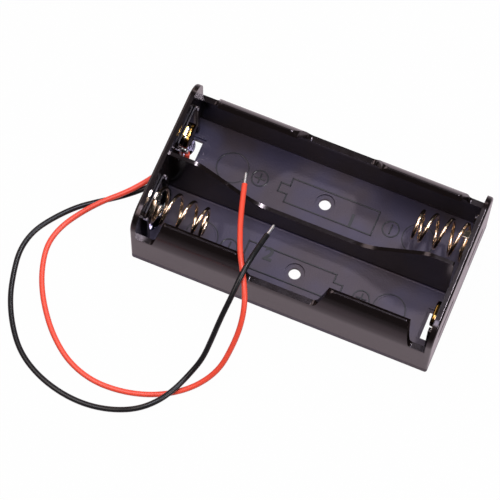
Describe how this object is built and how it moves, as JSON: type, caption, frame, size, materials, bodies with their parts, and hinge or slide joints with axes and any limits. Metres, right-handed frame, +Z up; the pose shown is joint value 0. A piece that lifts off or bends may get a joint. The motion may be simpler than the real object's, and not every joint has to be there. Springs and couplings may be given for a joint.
{
  "type": "cylindrical cell holder",
  "caption": "Moulded open holder for cylindrical cells laid side by side, with curled retaining wings, coil spring and button contacts, and bare-ended red and black leads.",
  "frame": {"origin": "middle of the underside of the housing", "axes": "+X along the cells towards the end wall with the bridging plate, +Y across the bays away from the bench front, +Z up, out of the open top"},
  "size_m": [0.1029, 0.0812, 0.0231],
  "materials": {
    "black_moulding": "glossy",
    "nickel_sheet": "bright plated",
    "nickel_wire": "bright plated",
    "red_insulation": "satin",
    "black_insulation": "satin",
    "tinned_strands": "satin",
    "solder": "satin"
  },
  "bodies": {
    "holder": {"housing": "black_moulding", "positive_contact_plate": "nickel_sheet", "negative_contact_plate": "nickel_sheet", "series_bridge_plate": "nickel_sheet", "red_lead": "red_insulation", "red_conductor": "tinned_strands", "red_solder_joint": "solder", "black_lead": "black_insulation", "black_conductor": "tinned_strands", "black_solder_joint": "solder"},
    "front_spring_tip": {"front_bay_spring": "nickel_wire"},
    "back_spring_tip": {"back_bay_spring": "nickel_wire"}
  },
  "joints": [
    {"name": "front_spring_press", "type": "slide", "parent": "holder", "child": "front_spring_tip", "axis": [-1, 0, 0], "range_m": [0, 0.0068], "stiffness_N_per_m": 4000, "deforming": ["front_bay_spring"]},
    {"name": "back_spring_press", "type": "slide", "parent": "holder", "child": "back_spring_tip", "axis": [1, 0, 0], "range_m": [0, 0.0068], "stiffness_N_per_m": 4000, "deforming": ["back_bay_spring"]}
  ]
}
